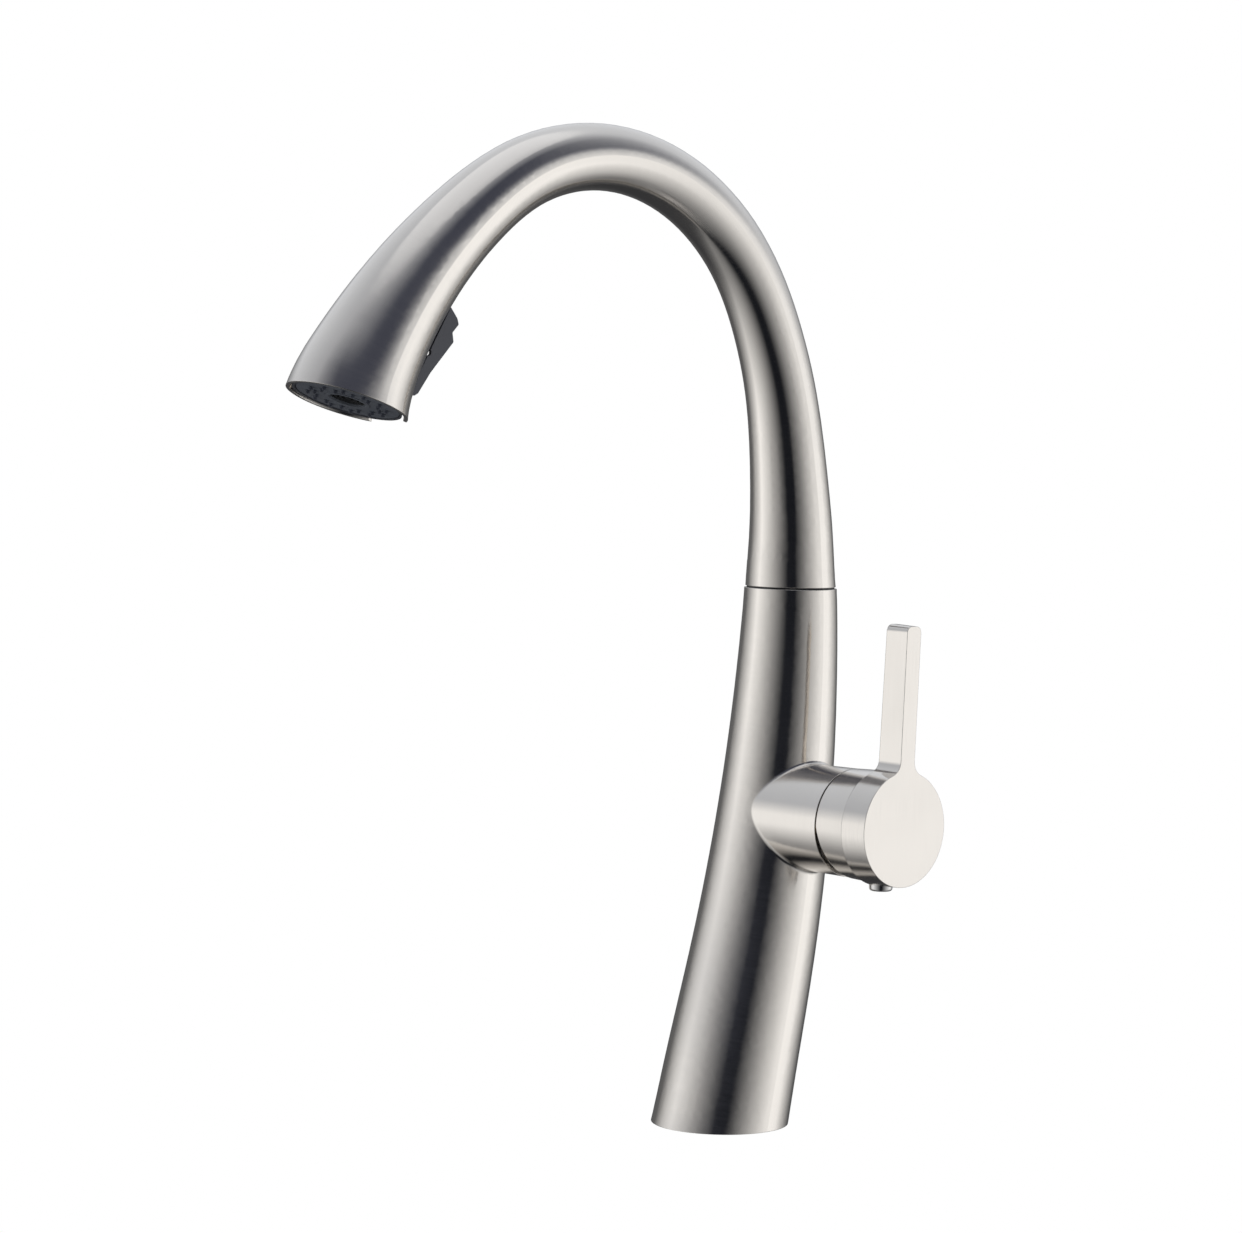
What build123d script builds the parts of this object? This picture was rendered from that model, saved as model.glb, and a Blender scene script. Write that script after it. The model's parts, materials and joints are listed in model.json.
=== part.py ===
from build123d import *
import os
from math import cos, radians, sin, sqrt

# Pull-down kitchen faucet with a side lever, all sizes in millimetres.
# The origin is the centre of the base on the deck and +Z is up.  The spout reaches
# towards -Y and the handle is on the +X side.  The spine of the faucet is a curve in the
# YZ plane: "reach" is the distance forward (-Y), and "lean" is the angle of the spine
# from vertical, positive forward.

# Spine: each stretch is (length, turn in degrees)
BODY_LEAN = 13.65
BODY_STRAIGHT = 58.0
BODY_LENGTH = 224.6
BODY_STRETCHES = [(BODY_STRAIGHT, 0.0), (BODY_LENGTH - BODY_STRAIGHT, BODY_LEAN)]
SPOUT_STRETCHES = [(68.1, 10.0), (55.8, 18.76), (165.0, 96.44), (92.7, 24.42), (15.0, 11.66)]
SPOUT_LENGTH = sum(length for length, turn in SPOUT_STRETCHES)

# Shells
BASE_RADIUS = 28.0
NECK_RADIUS = 19.3
SPOUT_FOOT_RADIUS = 18.9
WAIST_RADIUS = 13.0
WAIST_AT = 0.48
MOUTH_RADIUS = 23.6
BODY_WALL = 1.8
SPOUT_WALL = 1.4
FIT_GAP = 0.2
SEAM_GAP = 0.8

# Valve branch and cartridge, along +X
AXIS_REACH = -27.1
AXIS_HEIGHT = 127.3
BRANCH_END = 45.9
BRANCH_ROOT_RADIUS = 21.9
BRANCH_RADIUS = 22.25
BRANCH_BORE = 20.2
SADDLE_ROUND = 1.5
SEAT_BACK = 6.3
SEAT_FACE = 16.0
CARTRIDGE_RADIUS = 17.4
CARTRIDGE_TOP = 38.0
NUT_RADIUS = 18.15
LEVER_PIVOT = 33.0
PORT_SPREAD = 9.0
# Heights of the ports above the valve axis: inlets at the sides, outlet in the middle
PORT_HEIGHTS = {-1: -4.0, 0: 8.0, 1: -4.0}
PORT_RADIUS = 2.6

# Handle
CAP_GAP = 0.8
CAP_END = 74.7
CAP_RADIUS = 23.4
CAP_TAPER = 2.2
CAP_BORE = 19.8
LIFT_ANGLE = 12.0
LEVER_TOP = 82.0
LEVER_WIDTH = 8.0
LEVER_TILT = 1.9
PLATE_DEPTH = 12.3
LEVER_ROOT_DEPTH = 11.8
LEVER_TIP_DEPTH = 11.0
STEM_SIDE = 7.0
SCREW_AT = 62.5
PLUG_SEAT = -22.5
PLUG_RADIUS = 4.75
PLUG_HEIGHT = 3.4

# Pipes inside the body
TUBE_RADIUS = 4.0
TUBE_BORE = 3.0
SOCKET_GAP = 0.1
SOCKET_RADIUS = 4.5
STUD_HOLE_RADIUS = 3.4
INSERT_HEIGHT = 14.0
HOSE_RADIUS = 5.5
HOSE_BORE = 3.6
PASSAGE_RADIUS = 8.5
HOSE_FOOT = 2.0

# Spray head, pulled out along a straight line 11 degrees off the mouth's axis
MOUTH_LEAN = sum(turn for length, turn in SPOUT_STRETCHES)
PULL_LEAN = 150.0
SLOT_HALF_WIDTH = 10.5
SLOT_END = 55.5
HEAD_BACK = 54.5
COUPLING_OFFSET = 4.0
COUPLING_BACK = 64.0
FACE_RADIUS = 20.3
ROCKER_PIVOT = (33.0, 17.6)
SPOOL_AT = 45.0


def walk(start, stretches, distance):
    """Reach, height and lean after a distance along straight and circular stretches."""
    reach, height, lean = start
    for length, turn in stretches:
        step = min(distance, length)
        angle = turn * step / length
        chord = step
        if angle:
            chord = 2 * step / radians(angle) * sin(radians(angle / 2))
        middle = radians(lean + angle / 2)
        reach += chord * sin(middle)
        height += chord * cos(middle)
        lean += angle
        distance -= step
    return reach, height, lean


def spine_plane(start, stretches, distance):
    """Plane across the spine, its Z along the spine and its X the faucet's X."""
    reach, height, lean = walk(start, stretches, distance)
    direction = (0, -sin(radians(lean)), cos(radians(lean)))
    return Plane(origin=(0, -reach, height), x_dir=(1, 0, 0), z_dir=direction)


# The shells start below the deck and are cut level, so the base stands flat
BELOW = 9.0
BODY_START = (0.0, 0.0, -BODY_LEAN)
DEEP_START = (BELOW * sin(radians(BODY_LEAN)), -BELOW * cos(radians(BODY_LEAN)), -BODY_LEAN)
DEEP_STRETCHES = [(BODY_STRAIGHT + BELOW, 0.0), BODY_STRETCHES[1]]
SEAM = walk(BODY_START, BODY_STRETCHES, BODY_LENGTH)
MOUTH = walk(SEAM, SPOUT_STRETCHES, SPOUT_LENGTH)


def body_radius(distance):
    """Outer radius of the body, a cone that tapers a little faster near the neck."""
    share = distance / BODY_LENGTH
    return BASE_RADIUS - (BASE_RADIUS - NECK_RADIUS) * (0.667 * share + 0.333 * share**2)


def spout_radius(distance):
    """Outer radius of the spout: it narrows to a waist and flares to the mouth."""
    share = distance / SPOUT_LENGTH
    if share < WAIST_AT:
        return WAIST_RADIUS + (SPOUT_FOOT_RADIUS - WAIST_RADIUS) * (1 - share / WAIST_AT) ** 2.25
    return WAIST_RADIUS + (MOUTH_RADIUS - WAIST_RADIUS) * ((share - WAIST_AT) / (1 - WAIST_AT)) ** 2.62


def body_form(inset, end=BODY_LENGTH):
    """The body's outer form, shrunk by an inset and cut level at the deck."""
    stations = 9
    rings = []
    for i in range(stations):
        at = (end + BELOW) * i / (stations - 1)
        ring = Circle(body_radius(at - BELOW) - inset)
        rings.append(spine_plane(DEEP_START, DEEP_STRETCHES, at) * ring)
    deck = Pos(0, 0, -25) * Box(200, 200, 50)
    return loft(rings) - deck


def spout_form(inset, start=0.0):
    """The spout's outer form from a distance past the seam to the mouth, shrunk by an inset."""
    stations = 20
    rings = []
    for i in range(stations):
        at = start + (SPOUT_LENGTH - start) * i / (stations - 1)
        ring = Circle(spout_radius(at) - inset)
        rings.append(spine_plane(SEAM, SPOUT_STRETCHES, at) * ring)
    return loft(rings)


def along_x(start, end, radius, end_radius=None):
    """A cylinder or cone about the valve axis, from one X to another."""
    middle = (start + end) / 2
    place = Pos(middle, -AXIS_REACH, AXIS_HEIGHT) * Rot(0, 90, 0)
    if end_radius is None:
        return place * Cylinder(radius, end - start)
    return place * Cone(radius, end_radius, end - start)


def at_valve(x, y, z):
    """Place on the valve axis at X, moved by Y and Z from the axis."""
    return Pos(x, -AXIS_REACH + y, AXIS_HEIGHT + z)


def seam_ring(low, high, outer, inner=0.0):
    """A ring or disc about the swivel axis, between two heights above the seam."""
    reach, height, lean = SEAM
    place = Pos(0, -reach, height + (low + high) / 2)
    ring = place * Cylinder(outer, high - low)
    if inner:
        ring -= place * Cylinder(inner, high - low + 1)
    return ring


def body_point(distance, x, back):
    """A point in the body beside the spine, X to the side and back away from the user."""
    return spine_plane(BODY_START, BODY_STRETCHES, distance).from_local_coords((x, back, 0))


def drilled(x, y, radius, depth):
    """A level-mouthed hole up into the base from the deck."""
    return Pos(x, y, depth / 2 - 0.5) * Cylinder(radius, depth + 1)


# ---------------------------------------------------------------- body and pipes
# Each pipe: its socket in the base as (x, y), a point half way up and its end in the
# valve as (x, back), and how far along the spine that end is
PIPES = {
    "cold_supply_tube": ((9.0, -13.5), (10.5, -11.0), (11.0, -PORT_SPREAD), 113.2),
    "hot_supply_tube": ((9.0, 13.5), (10.5, 11.0), (11.0, PORT_SPREAD), 116.1),
    "mixed_outlet_tube": ((15.5, 0.0), (14.0, 0.0), (11.0, 0.0), 112.3),
}
STUD_AT = (-15.0, 0.0)
PIPE_FOOT = 12.4
PIPE_MIDDLE = 62.0
PIPE_BEND = 120.0


def pipe_path(name):
    """Two straight runs joined by one large arc."""
    (x, back), middle, top, top_at = PIPES[name]
    foot_at = (PIPE_FOOT + back * sin(radians(BODY_LEAN))) / cos(radians(BODY_LEAN))
    points = [body_point(foot_at, x, back), body_point(PIPE_MIDDLE, *middle), body_point(top_at, *top)]
    return FilletPolyline(*points, radius=PIPE_BEND)


def swept(path, radius):
    """A round bar along a path."""
    return sweep(Plane(origin=path @ 0, z_dir=path % 0) * Circle(radius), path=path)


def pipe_end(name, where, radius, length):
    """A short straight plug about one end of a pipe, for the socket it enters."""
    path = pipe_path(name)
    plane = Plane(origin=path @ where, z_dir=path % where)
    return plane * Cylinder(radius, length)


def body_shell():
    outer = body_form(0, BODY_LENGTH - SEAM_GAP / 2)
    outer += along_x(0, BRANCH_END, BRANCH_ROOT_RADIUS, BRANCH_RADIUS)
    outer = fillet(outer.edges().filter_by(on_saddle), SADDLE_ROUND)
    inner = body_form(BODY_WALL, BODY_LENGTH + 2)
    return outer - inner - along_x(0, BRANCH_END + 1, BRANCH_BORE)


def on_saddle(edge):
    """Is this a piece of the curve where the branch meets the body?"""
    near = abs(edge.center().Z - AXIS_HEIGHT) < BRANCH_ROOT_RADIUS + 1
    return near and edge.geom_type == GeomType.BSPLINE and edge.bounding_box().min.X > 1


def base_insert():
    slab = Pos(0, 0, INSERT_HEIGHT / 2) * Box(80, 80, INSERT_HEIGHT)
    insert = body_form(BODY_WALL + FIT_GAP) & slab
    insert -= spine_plane(BODY_START, BODY_STRETCHES, 8) * Cylinder(PASSAGE_RADIUS, 40)
    for name, ((x, back), middle, top, top_at) in PIPES.items():
        insert -= drilled(x, back, SOCKET_RADIUS, 9)
        insert -= pipe_end(name, 0, TUBE_RADIUS + SOCKET_GAP, 7.0)
        insert -= pipe_end(name, 0, TUBE_BORE, 9.0)
    insert -= drilled(STUD_AT[0], STUD_AT[1], STUD_HOLE_RADIUS, 11)
    return insert - gasket_groove(0)


def gasket_groove(clearance):
    """Flat ring under the base that the deck gasket fills."""
    thickness = 1.6 - clearance
    ring = Cylinder(25.2 - clearance, thickness) - Cylinder(22.0 + clearance, thickness + 1)
    return Pos(0, 0, thickness / 2) * ring


def valve_manifold():
    block = along_x(SEAT_BACK, BRANCH_END - 0.3, BRANCH_BORE - 0.25)
    block -= along_x(SEAT_FACE, CARTRIDGE_TOP, CARTRIDGE_RADIUS + 0.1)
    block -= along_x(CARTRIDGE_TOP - 0.5, BRANCH_END + 1, NUT_RADIUS + 0.05)
    for name in PIPES:
        block -= pipe_end(name, 1, TUBE_RADIUS + SOCKET_GAP, 13.0)
    for side in (-1, 0, 1):
        rise = PORT_HEIGHTS[side] + 14.0
        middle = PORT_HEIGHTS[side] - rise / 2
        block -= at_valve(11, side * PORT_SPREAD, middle) * Cylinder(TUBE_BORE, rise)
        block -= port_hole(side, 11, SEAT_FACE + 1)
    return block


def port_hole(side, start, end, radius=PORT_RADIUS):
    """One of the three water ways along X through the seat and the lower discs."""
    length = end - start
    return at_valve(start + length / 2, side * PORT_SPREAD, PORT_HEIGHTS[side]) * (
        Rot(0, 90, 0) * Cylinder(radius, length)
    )


def supply_tube(name):
    path = pipe_path(name)
    return swept(path, TUBE_RADIUS) - swept(path, TUBE_BORE)


# ---------------------------------------------------------------- cartridge
PLATE_TOP = SEAT_FACE + 3.0
FIXED_DISC_TOP = PLATE_TOP + 3.5
MOVING_DISC_TOP = FIXED_DISC_TOP + 3.4
CARRIER_TOP = MOVING_DISC_TOP + 3.0
ROTOR_BASE = CARRIER_TOP + 0.4
ROTOR_TOP = CARTRIDGE_TOP - 1.3
ROTOR_RADIUS = 12.9
BALL_RADIUS = 2.4
NECK_OF_BALL = 1.6
BALL_AT = MOVING_DISC_TOP + BALL_RADIUS + 0.25
RUNNING = 0.05


def cartridge_base():
    plate = along_x(SEAT_FACE + 0.1, PLATE_TOP, CARTRIDGE_RADIUS)
    for side in PORT_HEIGHTS:
        plate -= port_hole(side, SEAT_FACE, PLATE_TOP + 1)
        plate -= port_hole(side, SEAT_FACE, SEAT_FACE + 1.3, 4.1)
    return plate


def port_seals():
    """Three sealing rings between the seat and the cartridge base."""
    rings = []
    for side in PORT_HEIGHTS:
        ring = port_hole(side, SEAT_FACE + 0.02, SEAT_FACE + 1.2, 4.0)
        rings.append(ring - port_hole(side, SEAT_FACE - 1, SEAT_FACE + 2, PORT_RADIUS + 0.1))
    return Compound(rings)


def fixed_disc():
    disc = along_x(PLATE_TOP + 0.02, FIXED_DISC_TOP, 13.8)
    for side in PORT_HEIGHTS:
        disc -= port_hole(side, PLATE_TOP - 1, FIXED_DISC_TOP + 1)
    return disc


def moving_disc():
    disc = along_x(FIXED_DISC_TOP + 0.02, MOVING_DISC_TOP, 11.6)
    pocket = at_valve(FIXED_DISC_TOP + 0.7, 0, 2.0) * Box(2.4, 9.0, 9.0)
    return disc - pocket


def disc_carrier():
    """Holds the moving disc; the ball end of the stem pushes it up and down."""
    carrier = along_x(MOVING_DISC_TOP + 0.02, CARRIER_TOP, 11.6)
    socket = at_valve(CARRIER_TOP, 0, 0) * Box(8.0, 2 * BALL_RADIUS + 0.3, 2 * BALL_RADIUS + 0.16)
    return carrier - socket


def cartridge_housing():
    housing = along_x(PLATE_TOP + 0.02, CARTRIDGE_TOP - 0.02, CARTRIDGE_RADIUS)
    housing -= along_x(PLATE_TOP - 1, ROTOR_BASE - 0.2, 14.0)
    housing -= along_x(PLATE_TOP, ROTOR_TOP + 0.05, ROTOR_RADIUS + RUNNING)
    return housing - along_x(PLATE_TOP, CARTRIDGE_TOP + 1, 11.0)


def cartridge_rotor():
    """Turns with the handle for temperature and carries the stem's cross pin."""
    rotor = along_x(ROTOR_BASE, ROTOR_TOP, ROTOR_RADIUS)
    rotor -= at_valve((ROTOR_BASE + ROTOR_TOP) / 2, 0, -0.5) * Box(12, STEM_SIDE + 0.4, 13.0)
    return rotor - cross_pin(1.5, 26.0)


def cross_pin(radius, length):
    return at_valve(LEVER_PIVOT, 0, 0) * Rot(90, 0, 0) * Cylinder(radius, length)


def stem():
    """Square lever stem with a ball end, held by the cross pin."""
    start = LEVER_PIVOT - 2.6
    end = CAP_END - 5.0
    rod = at_valve((start + end) / 2, 0, 0) * Box(end - start, STEM_SIDE, STEM_SIDE)
    return rod + ball_end(start + 1 - BALL_AT) - cross_pin(1.5 + RUNNING, 26.0)


def ball_end(length):
    """Ball and neck turned in one piece, from the ball's centre to a length along X."""
    shoulder = sqrt(BALL_RADIUS**2 - NECK_OF_BALL**2)
    slant = BALL_RADIUS * sin(radians(45))
    profile = ThreePointArc((-BALL_RADIUS, 0), (-slant, slant), (0, BALL_RADIUS))
    profile += ThreePointArc((0, BALL_RADIUS), (slant, slant), (shoulder, NECK_OF_BALL))
    profile += Polyline((shoulder, NECK_OF_BALL), (length, NECK_OF_BALL), (length, 0), (-BALL_RADIUS, 0))
    return at_valve(BALL_AT, 0, 0) * revolve(make_face(profile), Axis.X)


def cartridge_nut():
    nut = along_x(CARTRIDGE_TOP, BRANCH_END - 0.9, NUT_RADIUS) - along_x(30, 60, 12.5)
    for turn in range(6):
        slot = at_valve(BRANCH_END, 0, 0) * Rot(turn * 60, 0, 0) * Pos(0, 0, 15.3) * Box(6, 3, 3)
        nut -= slot
    return nut


def dome_ring():
    """Thin polished ring that covers the nut and shows in the gap under the handle."""
    start = BRANCH_END - 0.25
    dome = along_x(start, start + 1.0, 19.4) + along_x(start + 1.0, start + 4.4, 18.9, 13.5)
    hollow = along_x(start - 1, start + 3.4, 17.6, 12.0)
    return dome - hollow - along_x(start - 2, start + 8, 12.2)


# ---------------------------------------------------------------- handle
def handle():
    face = Plane(origin=(CAP_END, -AXIS_REACH, AXIS_HEIGHT), x_dir=(0, 1, 0), z_dir=(1, 0, 0))
    blade = Rot(0, 0, -LEVER_TILT) * Pos(0, LEVER_TOP / 2) * Rectangle(LEVER_WIDTH, LEVER_TOP)
    outline = Circle(CAP_RADIUS) + blade
    roots = outline.vertices().filter_by(lambda v: 0 < v.Y < CAP_RADIUS + 1)
    outline = fillet(roots, 6.0)
    tips = outline.vertices().filter_by(lambda v: v.Y > LEVER_TOP - 3)
    outline = fillet(tips, 2.6)
    plate = extrude(face * outline, amount=-PLATE_DEPTH, taper=-CAP_TAPER)
    inner_side = Polyline(
        (CAP_END - LEVER_ROOT_DEPTH, CAP_RADIUS - 3),
        (CAP_END - LEVER_TIP_DEPTH, LEVER_TOP + 2),
        (CAP_END - 20, LEVER_TOP + 2),
        (CAP_END - 20, CAP_RADIUS - 3),
        close=True,
    )
    side_plane = Plane(origin=(0, -AXIS_REACH, AXIS_HEIGHT), x_dir=(1, 0, 0), z_dir=(0, -1, 0))
    plate -= extrude(side_plane * make_face(inner_side), amount=20, both=True)
    rim = BRANCH_END + CAP_GAP
    rim_radius = CAP_RADIUS - (CAP_END - rim) * sin(radians(CAP_TAPER))
    cap = along_x(rim, CAP_END, rim_radius, CAP_RADIUS) + plate
    cap -= along_x(rim - 1, CAP_END - 4, CAP_BORE)
    cap += along_x(CAP_END - 18, CAP_END - 3, 7.5)
    cap -= at_valve(CAP_END - 15, 0, 0) * Box(21, STEM_SIDE + 0.1, STEM_SIDE + 0.1)
    cap -= at_valve(SCREW_AT, 0, -13) * Cylinder(2.5, 20)
    cap -= at_valve(SCREW_AT, 0, -20) * Cylinder(3.5, 10)
    cap -= at_valve(SCREW_AT, 0, PLUG_SEAT - 5) * Cylinder(PLUG_RADIUS + 0.1, 10)
    return cap - tilt_clearance()


def tilt_clearance():
    """Wedge cut off the cap's rim so that it clears the branch when the lever is pulled."""
    pivot = Pos(LEVER_PIVOT, -AXIS_REACH, AXIS_HEIGHT)
    reach = BRANCH_END + 0.5 - LEVER_PIVOT
    block = Pos(reach - 50, 0, 0) * Box(100, 80, 200)
    return pivot * Rot(0, -LIFT_ANGLE, 0) * block


def set_screw():
    screw = at_valve(SCREW_AT, 0, -9.2) * Cylinder(2.4, 11.2)
    socket = at_valve(SCREW_AT, 0, -14.0) * Cylinder(1.25, 4)
    return screw - socket


def screw_plug():
    """Small round plug that covers the set screw under the cap, with a recessed centre."""
    plug = at_valve(SCREW_AT, 0, -20.9) * Cylinder(3.4, 5.0)
    top = PLUG_SEAT - RUNNING
    head = at_valve(SCREW_AT, 0, top - PLUG_HEIGHT / 2) * Cylinder(PLUG_RADIUS, PLUG_HEIGHT)
    head = fillet(head.edges().sort_by(Axis.Z)[0], 1.2)
    return plug + head - at_valve(SCREW_AT, 0, top - PLUG_HEIGHT) * Cylinder(2.2, 2.4)


# ---------------------------------------------------------------- swivel
SLEEVE_RADIUS = 13.55
SLEEVE_BORE = 9.2
COLLAR_TOP = 24.0
GROOVES = (6.0, 17.0)


def swivel_sleeve():
    """Brass sleeve fixed in the neck; the spout's collar turns on its upper half."""
    sleeve = seam_ring(-26, -1.0, NECK_RADIUS - BODY_WALL - FIT_GAP - 0.6)
    sleeve += seam_ring(-1.0, 28, SLEEVE_RADIUS)
    sleeve -= seam_ring(-30, 30, SLEEVE_BORE)
    for height in GROOVES:
        sleeve -= seam_ring(height - 1.1, height + 1.1, SLEEVE_RADIUS + 1, SLEEVE_RADIUS - 2.0)
    return sleeve - seam_ring(COLLAR_TOP, COLLAR_TOP + 1.5, SLEEVE_RADIUS + 1, SLEEVE_RADIUS - 1.2)


def sleeve_seals():
    """Two rubber rings in the sleeve's grooves."""
    reach, height, lean = SEAM
    rings = []
    for above in GROOVES:
        rings.append(Pos(0, -reach, height + above) * Torus(SLEEVE_RADIUS - 0.97, 1.0))
    return Compound(rings)


def slip_ring():
    """Low-friction washer that fills the seam between body and spout."""
    half = SEAM_GAP / 2
    return seam_ring(0.02 - half, half - RUNNING, NECK_RADIUS - 1.0, SLEEVE_RADIUS + RUNNING)


def snap_ring():
    """Split ring that holds the spout down on the sleeve."""
    ring = seam_ring(COLLAR_TOP + 0.1, COLLAR_TOP + 1.3, 14.3, SLEEVE_RADIUS - 1.1)
    reach, height, lean = SEAM
    return ring - Pos(0, -reach + 14, height + COLLAR_TOP) * Box(5, 8, 8)


def spout_collar():
    return seam_ring(SEAM_GAP / 2, COLLAR_TOP, 14.9, SLEEVE_RADIUS + RUNNING)


# ---------------------------------------------------------------- spout and hose
def head_plane():
    """Frame of the spray head at the mouth: Z back up the pull line, Y to the rear side."""
    reach, height, lean = MOUTH
    back = radians(PULL_LEAN - 180)
    return Plane(origin=(0, -reach, height), x_dir=(1, 0, 0), z_dir=(0, -sin(back), cos(back)))


HEAD = head_plane()


def spout_shell():
    shell = spout_form(0, SEAM_GAP / 2) - spout_form_through(SPOUT_WALL)
    slot = Pos(0, 24, (SLOT_END - 20) / 2) * Box(2 * SLOT_HALF_WIDTH, 36, SLOT_END + 20)
    slot = fillet(slot.edges().filter_by(Axis.Y).sort_by(Axis.Z)[-2:], 5.0)
    return shell - HEAD * slot


def spout_form_through(inset):
    """The spout's inner form, run a little past the mouth and the foot."""
    form = spout_form(inset)
    mouth = spine_plane(SEAM, SPOUT_STRETCHES, SPOUT_LENGTH)
    form += mouth * Pos(0, 0, 1) * Cylinder(MOUTH_RADIUS - inset, 2)
    return form + seam_ring(-1, SEAM_GAP, SPOUT_FOOT_RADIUS - inset)


def dock_liner():
    """Plastic ring fixed in the spout that the head's nose rests against."""
    slab = HEAD * Pos(0, 0, 59) * Box(60, 60, 7)
    liner = (spout_form(SPOUT_WALL + 0.15, 300) & slab)
    return liner - HEAD * Pos(0, COUPLING_OFFSET, 59) * Cylinder(9.2, 20)


# The hose runs from the spray coupling back along the spout and down through the body
HOSE_STRETCHES = [
    (19.2, -18.35),
    (24.6, -6.45),
    (166.2, -96.44),
    (56.5, -18.76),
    (68.4, -10.0),
    (167.1, -BODY_LEAN),
]


def spot(at):
    """The point in the YZ plane for a reach, a height and a lean."""
    reach, height, lean = at
    return (0, -reach, height)


def hose_path():
    start = HEAD.from_local_coords((0, COUPLING_OFFSET, COUPLING_BACK))
    at = (-start.Y, start.Z, PULL_LEAN - 180)
    pieces = []
    for length, turn in HOSE_STRETCHES:
        middle = walk(at, [(length, turn)], length / 2)
        end = walk(at, [(length, turn)], length)
        pieces.append(ThreePointArc(spot(at), spot(middle), spot(end)))
        print("hose bend radius", round(abs(length / radians(turn)), 1))
        at = end
    rest = (at[1] - HOSE_FOOT) / cos(radians(180 + at[2]))
    pieces.append(Line(spot(at), spot(walk(at, [(rest, 0.0)], rest))))
    return Wire(pieces)


def pull_hose():
    path = hose_path()
    hose = swept(path, HOSE_RADIUS) - swept(path, HOSE_BORE)
    print("hose length", round(path.length, 1))
    return hose


# ---------------------------------------------------------------- spray head
MOUTH_TILT = MOUTH_LEAN - PULL_LEAN


def head_cylinder(low, high, radius, offset=0.0):
    return Pos(0, offset, (low + high) / 2) * Cylinder(radius, high - low)


def mouth_side(depth):
    """Everything in front of a plane parallel to the mouth, at a depth behind it."""
    return Rot(MOUTH_TILT, 0, 0) * Pos(0, 0, depth - 50) * Box(120, 120, 100)


def mouth_ring(low, high, radius):
    """A disc parallel to the mouth, between two depths behind it."""
    return Rot(MOUTH_TILT, 0, 0) * Pos(0, 0, (low + high) / 2) * Cylinder(radius, high - low)


def head_profile():
    """Half section of the head's core: radius against distance up the pull line."""
    points = [(0, -8), (21.3, -8), (21.3, 1), (18.7, 14), (16.4, 42), (13.2, HEAD_BACK), (0, HEAD_BACK)]
    return make_face(Polyline(*points, close=True))


def rocker_pocket():
    return Pos(0, 26.0, 34.1) * Box(18.0, 22.0, 40.4)


def spray_body():
    section = Plane.XZ * head_profile()
    core = revolve(section, Axis.Z)
    tongue = HEAD.location.inverse() * spout_form(0.3, 300)
    tongue &= Pos(0, 20, 26) * Box(2 * SLOT_HALF_WIDTH - 0.8, 24, 54)
    body = core + tongue - mouth_side(0.6)
    body -= mouth_ring(-2, 9.0, FACE_RADIUS + 0.1)
    body -= head_cylinder(5, 32, 5.0)
    body -= head_cylinder(31, HEAD_BACK - 6.5, 3.6, COUPLING_OFFSET)
    body -= head_cylinder(HEAD_BACK - 6.6, HEAD_BACK + 1, 6.1, COUPLING_OFFSET)
    body -= rocker_pocket()
    body -= Pos(0, 10, SPOOL_AT) * Rot(90, 0, 0) * Cylinder(2.6, 12.0)
    body += pin_ears()
    return body - rocker_pin_form(1.25, 30)


def pin_ears():
    """Two low ears on the pocket floor that carry the rocker's pin."""
    ears = []
    for side in (-1, 1):
        ears.append(Pos(side * 4.5, ROCKER_PIVOT[1] - 1.4, ROCKER_PIVOT[0]) * Box(2.4, 5.6, 5.0))
    return ears[0] + ears[1]


def rocker_pin_form(radius, length):
    return Pos(0, ROCKER_PIVOT[1], ROCKER_PIVOT[0]) * Rot(0, 90, 0) * Cylinder(radius, length)


def rocker_pin():
    return rocker_pin_form(1.25, 15.6)


def rocker_button():
    """Two-way button behind the head, with two thumb ridges at its upper end."""
    outline = Polyline(
        (17.9, 14.4),
        (20.3, 15.6),
        (21.3, 17.2),
        (22.4, 27.0),
        (25.9, 42.6),
        (23.6, 45.4),
        (24.6, 49.6),
        (22.9, 51.2),
        (17.9, 53.2),
        close=True,
    )
    side = Plane(origin=(0, 0, 0), x_dir=(0, 1, 0), z_dir=(1, 0, 0))
    button = extrude(side * make_face(outline), amount=8.5, both=True)
    button = fillet(button.edges().filter_by(lambda e: e.center().Y > 19).filter_by(Axis.X), 0.7)
    hub = Pos(0, ROCKER_PIVOT[1], ROCKER_PIVOT[0])
    for side_x in (-1, 1):
        button -= hub * Pos(side_x * 4.5, -0.5, 0) * Box(3.0, 7.4, 7.0)
    return button - rocker_pin_form(1.25 + RUNNING, 30)


NOZZLE_RINGS = ((12.6, 12, 0.0), (15.2, 12, 15.0))
NOZZLE_RADIUS = 0.95
NOZZLE_TIP = 0.75
AERATOR_RADIUS = 8.6


def nozzle_places():
    """Centres of the nozzles: two staggered rings."""
    places = []
    for ring, count, offset in NOZZLE_RINGS:
        for i in range(count):
            angle = radians(offset + i * 360 / count)
            places.append((ring * cos(angle), ring * sin(angle)))
    return places


def face_place():
    return Rot(MOUTH_TILT, 0, 0)


def spray_face():
    """Flat plate across the mouth, with a hole for each nozzle and for the aerator."""
    plate = Pos(0, 0, 2.2) * Cylinder(FACE_RADIUS, 2.4)
    plate = fillet(plate.edges().sort_by(Axis.Z)[0], 0.6)
    plate -= Pos(0, 0, 2.2) * Cylinder(AERATOR_RADIUS + 0.1, 5)
    for x, y in nozzle_places():
        plate -= Pos(x, y, 2.2) * Cylinder(NOZZLE_RADIUS + 0.05, 5)
    return face_place() * plate


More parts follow.
